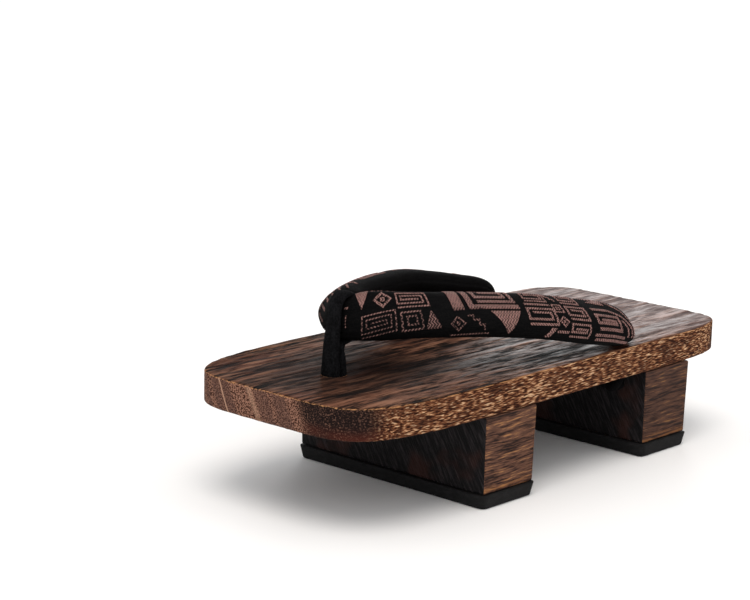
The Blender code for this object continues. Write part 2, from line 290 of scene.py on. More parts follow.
def sharpen(mesh):
    """Shades the holes' walls and the underside flat, and the rest smooth."""
    for face in mesh.polygons:
        top = max(mesh.vertices[corner].co.z for corner in face.vertices)
        upright = abs(face.normal.z) < 0.01
        hole_wall = upright and top > FOOTBED - BRUSHED and face.area > 2e-6
        face.use_smooth = not (hole_wall or face.normal.z < -0.99)
    mesh.update()


def make_board(finish):
    """The plank: its face as a fine grid, and its edge as rings from the face to the underside."""
    across, along = np.meshgrid(np.linspace(-1, 1, COLUMNS + 1), np.linspace(-1, 1, ROWS + 1))
    wear = streaks(across * TOE_WIDTH / 2, along * BOARD_LENGTH / 2, 0.0025, 0.0040, 5)
    inset = BOARD_ARRIS * (0.7 + 0.6 * wear)
    x, y = board_spots(across, along, inset)
    points = list(np.column_stack((x.ravel(), y.ravel(), np.full(x.size, FOOTBED))))
    index = np.arange(x.size).reshape(x.shape)
    faces = [
        (index[j, i], index[j, i + 1], index[j + 1, i + 1], index[j + 1, i])
        for j in range(ROWS)
        for i in range(COLUMNS)
    ]
    rim = np.concatenate((index[0, :-1], index[:-1, -1], index[-1, :0:-1], index[:0:-1, 0]))
    side = across.ravel()[rim], along.ravel()[rim]
    inset = inset.ravel()[rim]
    # each ring's share of the inset, its height, and how far the inset moves it up
    levels = [(1 - math.sin(turn), FOOTBED, math.cos(turn) - 1) for turn in ARRIS_TURNS]
    depth = FOOTBED - BOARD_UNDERSIDE
    levels += [(0, FOOTBED - share * depth, 0) for share in SIDE_LEVELS]
    levels += [
        (1 - math.sin(turn), BOARD_UNDERSIDE, 1 - math.cos(turn)) for turn in ARRIS_TURNS[::-1]
    ]
    levels.append((1, BOARD_UNDERSIDE, 0))
    above = rim
    for share, height, rise in levels:
        x, y = board_spots(*side, inset * share)
        here = np.arange(len(points), len(points) + len(rim))
        points += list(np.column_stack((x, y, height + rise * inset)))
        for i in range(len(rim)):
            j = (i + 1) % len(rim)
            faces.append((above[i], here[i], here[j], above[j]))
        above = here
    faces.append(tuple(above[::-1]))
    plank = make_piece("board_plank", points, faces, finish)
    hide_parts("board")
    drill(plank)
    brush(plank.data)
    sharpen(plank.data)


def make_board_finish():
    finish = Finish("burnt_paulownia", Specular_IOR_Level=0.08, Coat_Roughness=0.38)
    x, y, z = finish.place()
    facing_y, facing_z = finish.facing()[1:]
    top = facing_z.between(0.55, 0.85)
    end = facing_y.size().between(0.22, 0.60)
    sway = finish.specks(0.03, 0.07, 0.03) * 0.004
    fine = finish.specks(0.0011, 0.0095, 0.0008, 3.0, 0.7, sway)
    mid = finish.specks(0.0017, 0.0105, 0.0017, 3.0, 0.75, sway)
    long = finish.specks(0.0022, 0.050, 0.0022, 2.0, 0.6, sway)
    band = finish.noise(finish.join((x + sway) / 0.009, y / 0.17, 3.7))
    fibre = finish.noise(finish.join((x + sway) / 0.0027, y / 0.032, 5.1), 2.0, 0.6)
    patch = finish.specks(0.030, 0.045, 0.02)

    # The face: brown ridges over black grooves, stray pale and dark fibres, darker wood round the
    # post, and a painted sheen at the heel
    tone = finish.read("grain") * 0.28 + mid * 0.50 + fine * 0.36 + long * 0.10
    top_wood = finish.mix(tone.between(0.48, 0.80), colour(22, 10, 6), colour(112, 74, 56))
    top_wood = finish.mix(patch.between(0.48, 0.64) * 0.6, top_wood, colour(66, 31, 18))
    top_wood = finish.mix(band.between(0.48, 0.62) * 0.6, top_wood, colour(19, 11, 9))
    top_wood = finish.mix(fibre.between(0.55, 0.64) * 0.45, top_wood, colour(150, 108, 84))
    top_wood = finish.mix((1 - tone.between(0.44, 0.61)) * 0.95, top_wood, colour(7, 4, 3))
    top_wood = finish.mix((1 - fibre.between(0.36, 0.44)) * 0.8, top_wood, colour(9, 5, 4))
    gold = x.size().between(0.044, 0.052) * fine.between(0.48, 0.62)
    top_wood = finish.mix(gold * 0.45, top_wood, colour(118, 76, 45))
    # Darker round the post
    across, along = x / 0.034, (y - 0.082) / 0.044
    dark_round_post = 1 - (across * across + along * along + patch * 0.8 - 0.4).between(0.2, 1.5)
    top_wood = finish.mix(dark_round_post * 0.72, top_wood, colour(22, 10, 7))
    # Painted sheen: the heel end of the face is painted a paler mauve-grey for the gloss there; the
    # same mask also adds coat
    heel_sheen = 1 - y.between(-0.115, -0.025)
    top_wood = finish.mix(heel_sheen * 0.34, top_wood, colour(112, 80, 74))

    # The long sides: short pale dashes, in crowds, where the pores are cut open
    whirl = finish.specks(0.006, 0.014, 0.006) * 0.0013
    dash = finish.specks(0.0006, 0.0041, 0.00052, 1.0, 0.5, whirl)
    crowd = finish.specks(0.010, 0.018, 0.006)
    side_wood = finish.mix(dash.between(0.38, 0.54), colour(46, 21, 10), colour(112, 68, 45))
    fleck = dash.between(0.53, 0.64) * crowd.between(0.34, 0.52)
    side_wood = finish.mix(fleck * 0.9, side_wood, colour(190, 142, 102))
    side_wood = finish.mix(dash.between(0.63, 0.70) * 0.7, side_wood, colour(222, 188, 152))
    side_wood = finish.mix((1 - crowd.between(0.28, 0.48)) * 0.5, side_wood, colour(38, 22, 16))

    # The end grain: stippled pores, slanting growth rings, and a scorched corner
    stipple = finish.specks(0.00065, 0.003, 0.00065, 1.0, 0.6)
    ring = x * 0.90 - z * 0.45 + finish.specks(0.012, 0.03, 0.012) * 0.0016
    rings = finish.noise(finish.join(ring / 0.0075, 0.0, 8.3), 1.0)
    end_wood = finish.mix(stipple.between(0.40, 0.62), colour(52, 28, 20), colour(154, 112, 93))
    end_wood = finish.mix(rings.between(0.46, 0.60) * 0.55, end_wood, colour(74, 52, 47))
    pale_rings = ((0.0023, 0.0006, 0.75), (-0.0145, 0.0020, 0.35), (0.034, 0.001, 0.6))
    for spot, width, share in pale_rings:
        pale = 1 - (ring - spot).size().between(width * 0.3, width)
        end_wood = finish.mix(pale * share, end_wood, colour(190, 150, 124))
    scorch = 1 - (ring + 0.056).size().between(0.012, 0.020)
    speck = stipple.between(0.52, 0.68)
    end_wood = finish.mix(scorch * (1 - speck * 0.35) * 0.95, end_wood, colour(22, 14, 13))
    rust = (1 - z.between(0.0424, 0.0490)) * scorch * patch.between(0.36, 0.62)
    end_wood = finish.mix(rust * 0.55, end_wood, colour(92, 42, 30))

    wood = finish.mix(top, finish.mix(end, side_wood, end_wood), top_wood)
    under = (0 - facing_z).between(0.6, 0.9)
    under_wood = finish.mix(fine.between(0.35, 0.65), colour(46, 29, 23), colour(80, 54, 43))
    wood = finish.mix(under, wood, under_wood)
    arris = facing_z.between(0.15, 0.40) * (1 - facing_z.between(0.72, 0.88))
    wood = finish.mix(arris * fine.between(0.44, 0.60) * 0.75, wood, colour(190, 138, 92))

    polish = 0.42 - y.between(-0.02, 0.07) * 0.35
    gloss = top * (tone.between(0.50, 0.85) + heel_sheen * 0.20) * polish
    finish.set(Base_Color=wood, Roughness=0.92 - fine * 0.2, Coat_Weight=gloss)
    relief = top * tone * 0.9 + (1 - top) * (dash * 0.6 * (1 - end) + stipple * 0.5 * end)
    finish.bump(relief, 0.0016, 1.0)
    return finish


make_board(make_board_finish())


# The teeth
# Two blocks of the same wood, sawn across and glued under the board. Their toe and heel faces are
# charred nearly black and keep the slanted marks of the saw; their ends show long pale streaks.
TREAD_TOP = 0.0063
FIT_GAP = 0.0003  # between pieces that touch


def show(node, finish):
    """Gives a piece of the frame its finish."""
    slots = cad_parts[node].data.materials
    slots.clear()
    slots.append(finish.material)


def make_tooth_finish():
    finish = Finish("charred_tooth_wood", Specular_IOR_Level=0.15)
    x, y, z = finish.place()
    charred = finish.facing()[1].size().between(0.6, 0.9)
    sway = finish.specks(0.02, 0.03, 0.02) * 0.0030

    # The ends, with painted shade darkening the rear tooth, and rubbed pale at the foot
    coarse = finish.specks(0.0018, 0.022, 0.0016, 3.0, 0.6, sway)
    fine = finish.specks(0.0006, 0.008, 0.0006, 2.0, 0.6, sway)
    streak = coarse * 0.6 + fine * 0.5
    wood = finish.mix(streak.between(0.44, 0.62), colour(44, 26, 19), colour(104, 71, 56))
    wood = finish.mix(streak.between(0.60, 0.72) * 0.8, wood, colour(172, 122, 76))
    wood = finish.mix((1 - streak.between(0.40, 0.50)) * 0.85, wood, colour(22, 13, 11))
    # Painted shade: the rear tooth, further back under the board, is painted darker
    rear = 1 - y.between(-0.06, 0.0)
    wood = finish.mix(rear * 0.45, wood, colour(42, 27, 23))
    foot = 1 - z.between(TREAD_TOP, TREAD_TOP + 0.006)
    wood = finish.mix(foot * coarse.between(0.48, 0.60) * 0.5, wood, colour(158, 104, 54))

    # The charred faces, with a line of dried glue over the tread
    slant = finish.join((x * 0.86 - z * 0.5) / 0.0010, y / 0.01, (x * 0.5 + z * 0.86) / 0.008)
    saw = finish.noise(slant, 3.0, 0.6)
    char = finish.mix(saw.between(0.42, 0.74), colour(7, 6, 7), colour(44, 39, 41))
    scorch = finish.specks(0.02, 0.02, 0.02)
    char = finish.mix(scorch.between(0.54, 0.70) * 0.45, char, colour(60, 30, 22))
    glue = (1 - (z - TREAD_TOP - FIT_GAP).size().between(0.0001, 0.0004)) * saw.between(0.5, 0.58)
    char = finish.mix(glue * 0.6, char, colour(150, 148, 144))

    finish.set(Base_Color=finish.mix(charred, wood, char), Roughness=0.58 + fine * 0.3)
    finish.bump(streak * (1 - charred) + saw * charred, 0.0009, 0.9)
    return finish


tooth_finish = make_tooth_finish()
for tooth in ("front_tooth", "rear_tooth"):
    show(tooth, tooth_finish)


# The treads
# Sheets of matt black rubber glued under the teeth and trimmed by hand, so that the upper edge
# stands a little proud of the wood.
def make_tread_finish():
    finish = Finish("tread_rubber", Specular_IOR_Level=0.2)
    dust = finish.specks(0.004, 0.004, 0.002, 3.0, 0.6)
    grain = finish.specks(0.0004, 0.0004, 0.0004, 1.0)
    rubber = finish.mix(dust.between(0.42, 0.72), colour(9, 9, 10), colour(26, 25, 26))
    rubber = finish.mix(grain.between(0.55, 0.75) * 0.3, rubber, colour(44, 43, 44))
    finish.set(Base_Color=rubber, Roughness=0.66 + dust * 0.25)
    finish.bump(grain * 0.4 + dust * 0.6, 0.0004, 0.6)
    return finish


tread_finish = make_tread_finish()
for tread in ("front_tread", "rear_tread"):
    show(tread, tread_finish)


# The strap
# A cord padded with wadding and sewn into a tube: black cloth woven with dusty pink figures on the
# outside, plain napped lining against the foot. Its two ends are tied in knots below the board.
NOSE_SETBACK = 0.0054  # from the toe hole back to the middle of the strap's nose
STRAP_WIDTH = 0.0280
STRAP_THICKNESS = 0.0135
STRAP_LIFT = 0.0170  # the highest that its underside stands off the board
STRAP_SQUARENESS = 2.6
STRAP_POINTS = 108
STRAP_STEPS = 24
HEADING_REACH = 0.05  # the strap's heading is read this share of a row ahead and behind
TURNED_DOWN = math.radians(35)  # where it dips more steeply than this, it keeps its heading
CLOTH_STEP = 0.00025
CLOTH_REACH = 0.0182  # from the ridge to the seam on either side
CLOTH_ROWS = 1201
CLOTH_TURNS = 1440
SEAM_DEPTH = 0.00035
NOSE_PUCKER = 0.00028
HOLE_PUCKER = 0.00030
REAR_KNOT_RADIUS = 0.0070
REAR_KNOT_DEPTH = 0.0095
REAR_KNOT_CORD = 0.0026
KNOT_STEPS = 120
KNOT_POINTS = 24

# From the nose to the rear hole: out and along place a section's middle, as shares of the way;
# lift is a share of STRAP_LIFT; dip and tilt are in degrees; width and thickness are shares.
STRAP_SECTIONS = np.array((
    # out, along, lift, dip, tilt, width, thickness
    (0.000, 0.000, 0.90, 0, 84, 0.64, 0.58),
    (0.130, 0.018, 0.89, 0, 74, 0.73, 0.76),
    (0.275, 0.072, 0.92, 0, 52, 0.80, 0.85),
    (0.455, 0.155, 0.97, 1, 36, 0.84, 0.88),
    (0.755, 0.360, 0.90, 6, 25, 0.92, 0.92),
    (0.960, 0.560, 0.68, 9, 25, 0.97, 0.95),
    (1.045, 0.755, 0.33, 13, 26, 1.00, 1.00),
    (1.050, 0.890, 0.12, 20, 27, 1.00, 0.96),
    (1.048, 0.970, 0.04, 38, 32, 0.97, 0.93),
    (1.032, 1.014, 0.02, 62, 42, 0.89, 0.89),
    (1.012, 1.018, 0.02, 80, 48, 0.80, 0.82),
    (1.000, 1.000, 0.00, 90, 52, 0.52, 0.54),
))


def read_smoothly(rows, places):
    """Rows read between the rows of a table, on Catmull-Rom curves through them."""
    i = np.clip(places.astype(int), 1, len(rows) - 3)
    t = (places - i)[:, None]
    weights = (
        ((-t + 2) * t - 1) * t / 2,
        ((3 * t - 5) * t * t + 2) / 2,
        ((-3 * t + 4) * t + 1) * t / 2,
        (t - 1) * t * t / 2,
    )
    return sum(weight * rows[i + k - 1] for k, weight in enumerate(weights))


def strap_table():
    nose_y = TOE_HOLE.y - NOSE_SETBACK
    out, along, lift, dip, tilt, width, thickness = STRAP_SECTIONS.T
    rows = np.column_stack((
        out * REAR_HOLE.x,
        nose_y + along * (REAR_HOLE.y - nose_y),
        lift * STRAP_LIFT,
        np.radians(dip),
        np.radians(tilt),
        width * STRAP_WIDTH / 2,
        thickness * STRAP_THICKNESS / 2,
    ))
    before = rows[1] * (-1, 1, 1, 1, 1, 1, 1)
    return np.vstack((before, rows, 2 * rows[-1] - rows[-2]))


def strap_frames(places):
    """The middle, the two axes and the two half sizes of the strap's sections."""
    table = strap_table()
    x, y, lift, dip, tilt, half_wide, half_deep = read_smoothly(table, places).T
    ahead = read_smoothly(table, places + HEADING_REACH)
    ahead -= read_smoothly(table, places - HEADING_REACH)
    heading = ahead[:, :2] / np.linalg.norm(ahead[:, :2], axis=1)[:, None]
    heading[places <= 1] = (-1, 0)
    turned_down = np.argmax(dip > TURNED_DOWN)
    heading[turned_down:] = heading[turned_down - 1]
    level = np.zeros(len(places))
    outward = np.column_stack((heading[:, 1], -heading[:, 0], level))
    run = np.column_stack((heading * np.cos(dip)[:, None], -np.sin(dip)))
    up = np.cross(outward, run)
    wide = outward * np.cos(tilt)[:, None] - up * np.sin(tilt)[:, None]
    deep = outward * np.sin(tilt)[:, None] + up * np.cos(tilt)[:, None]
    dual = STRAP_SQUARENESS / (STRAP_SQUARENESS - 1)
    across = half_wide * np.abs(np.sin(tilt) * np.cos(dip))
    through = half_deep * np.abs(np.cos(tilt) * np.cos(dip))
    half_height = (across**dual + through**dual) ** (1 / dual)
    middle = np.column_stack((x, y, FOOTBED + np.maximum(lift, FIT_GAP) + half_height))
    return middle, wide, deep, half_wide, half_deep


def strap_surface(frames, angles):
    """Points round the strap's sections, by row and angle."""
    middle, wide, deep, half_wide, half_deep = frames
    cosine, sine = np.cos(angles), np.sin(angles)
    power = 2 / STRAP_SQUARENESS
    across = np.sign(cosine) * np.abs(cosine) ** power * half_wide[:, None]
    through = np.sign(sine) * np.abs(sine) ** power * half_deep[:, None]
    return (
        middle[:, None]
        + wide[:, None] * across[..., None]
        + deep[:, None] * through[..., None]
    )


def lay_out_cloth():
    """The outer cloth as a flat sheet: the point and the normal at every step along and across.

    Along runs from the nose to the rear end. Across is 0 on the ridge and grows to the outer edge.
    """
    rows = np.linspace(1, len(STRAP_SECTIONS), CLOTH_ROWS)
    ridge = strap_surface(strap_frames(rows), np.full((len(rows), 1), math.pi / 2))[:, 0]
    travelled = np.r_[0, np.cumsum(np.linalg.norm(np.diff(ridge, axis=0), axis=1))]
    along = np.arange(0, travelled[-1], CLOTH_STEP)
    places = np.interp(along, travelled, rows)
    angles = np.linspace(-0.5, 1.5, CLOTH_TURNS + 1) * math.pi
    points = strap_surface(strap_frames(places), np.tile(angles, (len(along), 1)))
    lengths = np.linalg.norm(np.diff(points, axis=1), axis=2)
    round_it = np.column_stack((np.zeros(len(along)), np.cumsum(lengths, axis=1)))
    outward = round_it[:, CLOTH_TURNS // 2][:, None] - round_it
    across = np.arange(-CLOTH_REACH, CLOTH_REACH + CLOTH_STEP / 2, CLOTH_STEP)
    sheet = np.empty((len(along), len(across), 3))
    for i in range(len(along)):
        for axis in range(3):
            sheet[i, :, axis] = np.interp(across, outward[i, ::-1], points[i, ::-1, axis])
    normal = np.cross(np.gradient(sheet, axis=1), np.gradient(sheet, axis=0))
    normal /= np.linalg.norm(normal, axis=2)[..., None]
    return {
        "along": along, "across": across, "points": sheet, "normals": normal,
        "rows": rows, "travelled": travelled,
    }


cloth = lay_out_cloth()


def on_cloth(along, across, height):
    """Points at places on the near branch's cloth, raised by a height."""
    i = np.clip(along / cloth["along"][1], 0, len(cloth["along"]) - 1.001)
    j = (across - cloth["across"][0]) / (cloth["across"][1] - cloth["across"][0])
    j = np.clip(j, 0, len(cloth["across"]) - 1.001)
    i0, j0 = i.astype(int), j.astype(int)
    fi, fj = (i - i0)[:, None], (j - j0)[:, None]

    def read(sheet):
        near = sheet[i0, j0] * (1 - fj) + sheet[i0, j0 + 1] * fj
        far = sheet[i0 + 1, j0] * (1 - fj) + sheet[i0 + 1, j0 + 1] * fj
        return near * (1 - fi) + far * fi

    return read(cloth["points"]) + read(cloth["normals"]) * height[:, None]


def loft_faces(rings, count, closed=False):
    """Quads through rings of equally many points, which close on themselves or end in caps."""
    faces = []
    for row in range(rings if closed else rings - 1):
        for i in range(count):
            j = (i + 1) % count
            a, b = row * count, (row + 1) % rings * count
            faces.append((a + i, a + j, b + j, b + i))
    if not closed:
        faces.append(tuple(reversed(range(count))))
        faces.append(tuple(range((rings - 1) * count, rings * count)))
    return faces


def make_strap_cloth():
    finish = Finish("strap_cloth", Specular_IOR_Level=0.06)
    along, across = finish.cloth()
    nap = finish.specks(0.0005, 0.0005, 0.0005, 3.0, 0.7)
    slub = finish.noise(finish.join(along / 0.6, across / 0.05))
    weft, warp = 2 * math.pi / 0.055, 2 * math.pi / 0.07
    ribs = (across * weft).wave() * (along * warp).wave()
    lining = across.size().between(1.80, 1.86)
    shade = (nap * 0.8 + slub * 0.4).between(0.48, 0.80)
    ground = finish.mix(shade, colour(2, 2, 3), colour(15, 14, 14))
    finish.set(Base_Color=ground, Roughness=0.80 + nap * 0.18)
    finish.bump((ribs * 0.25 + 0.5) * (1 - lining) + nap * 0.5, 0.00030, 0.8)
    return finish


strap_cloth = make_strap_cloth()


def tie_knot(name, hole, radius, depth, cord, replaced, finish):
    """An overhand knot drawn tight below the board: a tube on a trefoil, round the cord's end."""
    t = np.linspace(0, 2 * math.pi, KNOT_STEPS, endpoint=False)
    flat = (radius - cord) / 3
    swing = depth / 2 - cord
    shape = np.column_stack((
        flat * (np.sin(t) + 2 * np.sin(2 * t)),
        flat * (np.cos(t) - 2 * np.cos(2 * t)),
        -swing * np.sin(3 * t),
    ))
    middle = np.array((hole.x, hole.y, BOARD_UNDERSIDE - FIT_GAP - depth / 2))
    run = np.roll(shape, -1, axis=0) - np.roll(shape, 1, axis=0)
    run /= np.linalg.norm(run, axis=1)[:, None]
    side = np.cross(run, (0, 0, 1))
    side /= np.linalg.norm(side, axis=1)[:, None]
    up = np.cross(side, run)
    angles = np.linspace(0, 2 * math.pi, KNOT_POINTS, endpoint=False)[None, :, None]
    ring = np.cos(angles) * side[:, None] + np.sin(angles) * up[:, None]
    points = (middle + shape)[:, None] + ring * cord
    faces = loft_faces(KNOT_STEPS, KNOT_POINTS, closed=True)
    knot = make_piece(name, points.reshape(-1, 3), faces, finish)
    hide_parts(replaced)


def make_strap():
    """The padding: one branch from the nose to its knot, puckered and seamed, and its mirror."""
    rows = np.linspace(1, len(STRAP_SECTIONS), (len(STRAP_SECTIONS) - 1) * STRAP_STEPS + 1)
    angles = np.linspace(-0.5, 1.5, STRAP_POINTS, endpoint=False) * math.pi
    frames = strap_frames(rows)
    half = strap_surface(frames, np.tile(angles, (len(rows), 1)))
    middle = frames[0][:, None]

    lengths = np.linalg.norm(np.diff(half, axis=1), axis=2)
    round_it = np.column_stack((np.zeros(len(rows)), np.cumsum(lengths, axis=1)))
    across = round_it[:, STRAP_POINTS // 2][:, None] - round_it
    along = np.interp(rows, cloth["rows"], cloth["travelled"])
    seam = np.exp(-(((np.abs(across) - CLOTH_REACH - 0.0003) / 0.0006) ** 2)) * SEAM_DEPTH
    near_nose = np.exp(-((along / 0.006) ** 2))[:, None]
    near_hole = np.exp(-(((along[-1] - along) / 0.007) ** 2))[:, None]
    pucker = NOSE_PUCKER * near_nose * np.cos(13 * angles)
    pucker = pucker + HOLE_PUCKER * near_hole * np.cos(11 * angles + 1)
    out = half - middle
    out /= np.linalg.norm(out, axis=2)[..., None]
    half = list(half + out * (pucker - seam)[..., None])
    marks = list(np.stack((np.broadcast_to(along[:, None], across.shape), across), axis=2))

    wide, deep = frames[1][-1], frames[2][-1]
    turn = np.cos(angles)[:, None] * wide + np.sin(angles)[:, None] * deep
    knot_middle = BOARD_UNDERSIDE - FIT_GAP - REAR_KNOT_DEPTH / 2
    for height, girth in (
        (FOOTBED + FIT_GAP, 1.0), (BOARD_UNDERSIDE - FIT_GAP, 1.0), (knot_middle, 0.85),
        (BOARD_UNDERSIDE - FIT_GAP - REAR_KNOT_DEPTH * 0.95, 0.6),
    ):
        half.append(np.array((*REAR_HOLE.xy, height)) + turn * CORD_RADIUS * girth)
        marks.append(marks[-1] + (FOOTBED - BOARD_UNDERSIDE, 0))
    half, marks = np.array(half), np.array(marks)
    rings = np.concatenate((half[:0:-1] * (-1, 1, 1), half))
    marks = np.concatenate((marks[:0:-1] * (-1, 1), marks))
    strap = make_piece(
        "strap_padding", rings.reshape(-1, 3), loft_faces(len(rings), STRAP_POINTS), strap_cloth,
        marks.reshape(-1, 2),
    )
    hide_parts("strap")


make_strap()
for knot_name, knot_side in (("near_rear_knot", 1), ("far_rear_knot", -1)):
    knot_hole = Vector((REAR_HOLE.x * knot_side, REAR_HOLE.y, 0))
    tie_knot(
        knot_name, knot_hole, REAR_KNOT_RADIUS, REAR_KNOT_DEPTH, REAR_KNOT_CORD, "strap",
        strap_cloth,
    )


# The woven figures
# Raised figures of dusty pink thread in the strap's cloth: square spirals, nested squares, bars,
# scales and steps, as old woven bands carry them. They lie in blocks with plain cloth between,
# and slanting strokes fan out where the far branch bends round the nose.
THREAD_HEIGHT = 0.00024  # over the cloth
THREAD_ROOT = -0.00012  # the edges are sunk in it
THREAD_RIM = 0.20  # from here on in millimetres, as the figures are
STITCH = 1.2


def square_spiral(wide, tall, stroke, pitch):
    """A line that winds squarely inwards, as corners in millimetres and the line's width."""
    left, right, top, bottom = stroke / 2, wide - stroke / 2, stroke / 2, tall - stroke / 2
    corners = [(left, bottom)]
    while True:
        corners += [(right, bottom), (right, top), (left, top)]
        bottom -= pitch
        if bottom - top < pitch * 0.9 or right - left < 2 * pitch:
            return [(corners, stroke)]
        corners.append((left, bottom))
        left, right, top = left + pitch, right - pitch, top + pitch


def nested_squares(size, stroke, pitch):
    """Squares one inside the other, a pitch apart."""
    lines = []
    low, high = stroke / 2, size - stroke / 2
    while high - low > stroke:
        middle = (low + high) / 2
        square = [(middle, low), (high, low), (high, high), (low, high), (low, low), (middle, low)]
        lines.append((square, stroke))
        low, high = low + pitch, high - pitch
    return lines


def lozenge(size, stroke):
    """A square set on its corner, round a dot."""
    half, quarter, low, high = size / 2, size / 4, stroke, size - stroke
    start = ((half + high) / 2, (half + low) / 2)
    line = [start, (high, half), (half, high), (low, half), (half, low), start]
    return [(line, stroke), ([(half - quarter / 3, half), (half + quarter / 3, half)], quarter)]


def bar(wide, tall):
    """A filled oblong, drawn as a line along its longer side."""
    if wide > tall:
        return [([(0, tall / 2), (wide, tall / 2)], tall)]
    return [([(wide / 2, 0), (wide / 2, tall)], wide)]


def scale(size, tall, point_up=True):
    """A fish scale: a filled triangle."""
    widths = (0.5, size) if point_up else (size, 0.5)
    return [([(size / 2, 0), (size / 2, tall)], widths)]


def steps(count, tread, stroke):
    """A flight of steps drawn as one line."""
    line = [(0, 0)]
    for i in range(count):
        line += [((i + 1) * tread, i * tread), ((i + 1) * tread, (i + 1) * tread)]
    return [(line, stroke)]


def battlement(wide, tall, pitch, stroke):
    """A line that goes up and down squarely, as a wall's top does."""
    line = [(0, tall)]
    for i in range(int(wide / pitch)):
        near, far = i * pitch, (i + 0.5) * pitch
        line += [(near, 0), (far, 0), (far, tall), (near + pitch, tall)]
    return [(line[1:], stroke)]


# The figures of each block, in millimetres: along from the block's start, across from the ridge,
# how far the upright lines lean, and the lines.
BLOCKS = {
    "fine": (
        (0.0, -11.2, 0.00, scale(7.6, 8.6, False)),
        (8.8, -10.2, 0.00, lozenge(9.8, 1.3)),
        (19.8, -9.0, 0.00, square_spiral(15.5, 9.6, 0.95, 2.10)),
        (3.6, 0.6, 0.00, square_spiral(15.5, 10.4, 0.75, 1.95)),
        (20.6, 2.4, 0.00, nested_squares(9.6, 1.0, 2.30)),
        (30.8, 3.2, 0.00, scale(7.4, 8.8)),
        (1.0, -15.4, 0.00, battlement(34, 2.6, 3.4, 0.8)),
        (2.0, -18.0, 0.00, bar(32, 1.0)),
    ),
    "bold": (
        (3.6, -14.0, 0.02, bar(5.6, 18)),
        (11.4, -13.0, 0.00, [([(1.6, 0), (1.6, 15.4), (25.6, 15.4)], 3.0)]),
        (16.4, -13.6, 0.00, square_spiral(20.4, 13.2, 1.9, 3.5)),
        (21.2, 5.4, 0.00, scale(15.4, 11.6, False)),
        (0.2, 6.8, 0.00, lozenge(8.2, 1.0)),
        (9.4, 7.4, 0.00, steps(3, 2.4, 1.0)),
        (1.0, 16.0, 0.00, bar(18, 0.9)),
    ),
    "mixed": (
        (4.0, -10.6, 0.15, square_spiral(13.6, 8.4, 1.0, 2.0)),
        (2.6, -0.8, 0.15, bar(14.4, 1.4)),
        (0.4, 2.4, 0.15, square_spiral(16.2, 10.4, 1.35, 2.55)),
        (9.4, 13.8, 0.60, bar(3.0, 4.4)),
        (17.6, -9.0, 0.15, steps(3, 1.8, 0.9)),
        (17.6, -1.2, 0.15, nested_squares(6.2, 0.9, 1.85)),
        (16.4, 6.6, 0.15, lozenge(7.0, 1.0)),
        (15.6, 14.6, 0.15, bar(6.6, 1.4)),
        (26.0, -11.4, 0.20, square_spiral(13.2, 9.0, 1.2, 2.3)),
        (24.8, -0.8, 0.20, square_spiral(13.8, 9.8, 1.3, 2.45)),
        (22.8, 10.6, 0.20, square_spiral(13.0, 7.2, 1.2, 2.3)),
        (5.0, -17.6, 0.00, bar(30, 1.2)),
        (6.0, -15.2, 0.00, battlement(28, 2.2, 3.4, 0.8)),
    ),
    "end": (
        (0, 0, 0.00, [([(9.6, -6.6), (22.0, -8.0)], (0.6, 5.6))]),
        (0, 0, 0.00, [
            ([(6.6, -0.4), (20.0, -0.8), (28.0, 2.0), (32.6, 8.0), (32.8, 14.0)], 1.7),
        ]),
        (0, 0, 0.00, [
            ([(11.0, -13.0), (24.0, -9.6), (32.6, -3.0), (37.0, 6.0), (37.0, 13.0)], 1.2),
        ]),
        (0, 0, 0.00, [([(26.0, 5.6), (28.2, 9.6), (28.2, 14.6)], 1.6)]),
        (3.0, 3.0, 0.25, square_spiral(19.4, 10.2, 1.8, 3.2)),
        (0.8, 14.6, 0.00, bar(24, 1.5)),
        (2.0, 16.8, 0.00, bar(30, 2.4)),
    ),
    "nose": (
        (0, 0, 0.00, [
            ([(24, 8), (30, 3), (31.5, -1), (32, -5), (31, -9), (28.6, -12.6)], 1.7),
        ]),
        (0, 0, 0.00, [([(27.0, 3.0), (17.0, -0.2)], 1.1)]),
        (0, 0, 0.00, [([(25.0, -1.0), (10.6, -6.6)], 1.1)]),
        (0, 0, 0.00, [([(25.5, -5.0), (10.0, -10.8)], 1.1)]),
        (0, 0, 0.00, [([(23.0, -9.0), (15.2, -12.9)], 1.1)]),
        (0, 0, 0.00, [([(26.0, 6.2), (12.8, 2.0)], 1.2)]),
        (0, 0, 0.00, [([(21.0, 8.2), (11.4, 6.4)], 1.2)]),
    ),
    "tick": (
        (0, 0, 0.00, [([(3.6, -4.2), (5.2, -4.4)], 1.3)]),
        (0, 0, 0.00, [([(4.4, -1.0), (4.6, 4.6)], 0.5)]),
    ),
}

# Each branch's blocks, where they start, and how far outward they lie, in millimetres
NEAR_LAYOUT = (
    ("tick", 0.0, 0.0), ("fine", 8.0, 0.0), ("bold", 49.6, 0.0), ("mixed", 88.0, 0.0),
    ("end", 127.0, 0.0),
)
FAR_LAYOUT = (
    ("nose", 0.0, 0.0), ("mixed", 38.0, 7.0), ("bold", 82.0, 5.0), ("end", 129.0, 3.0),
)


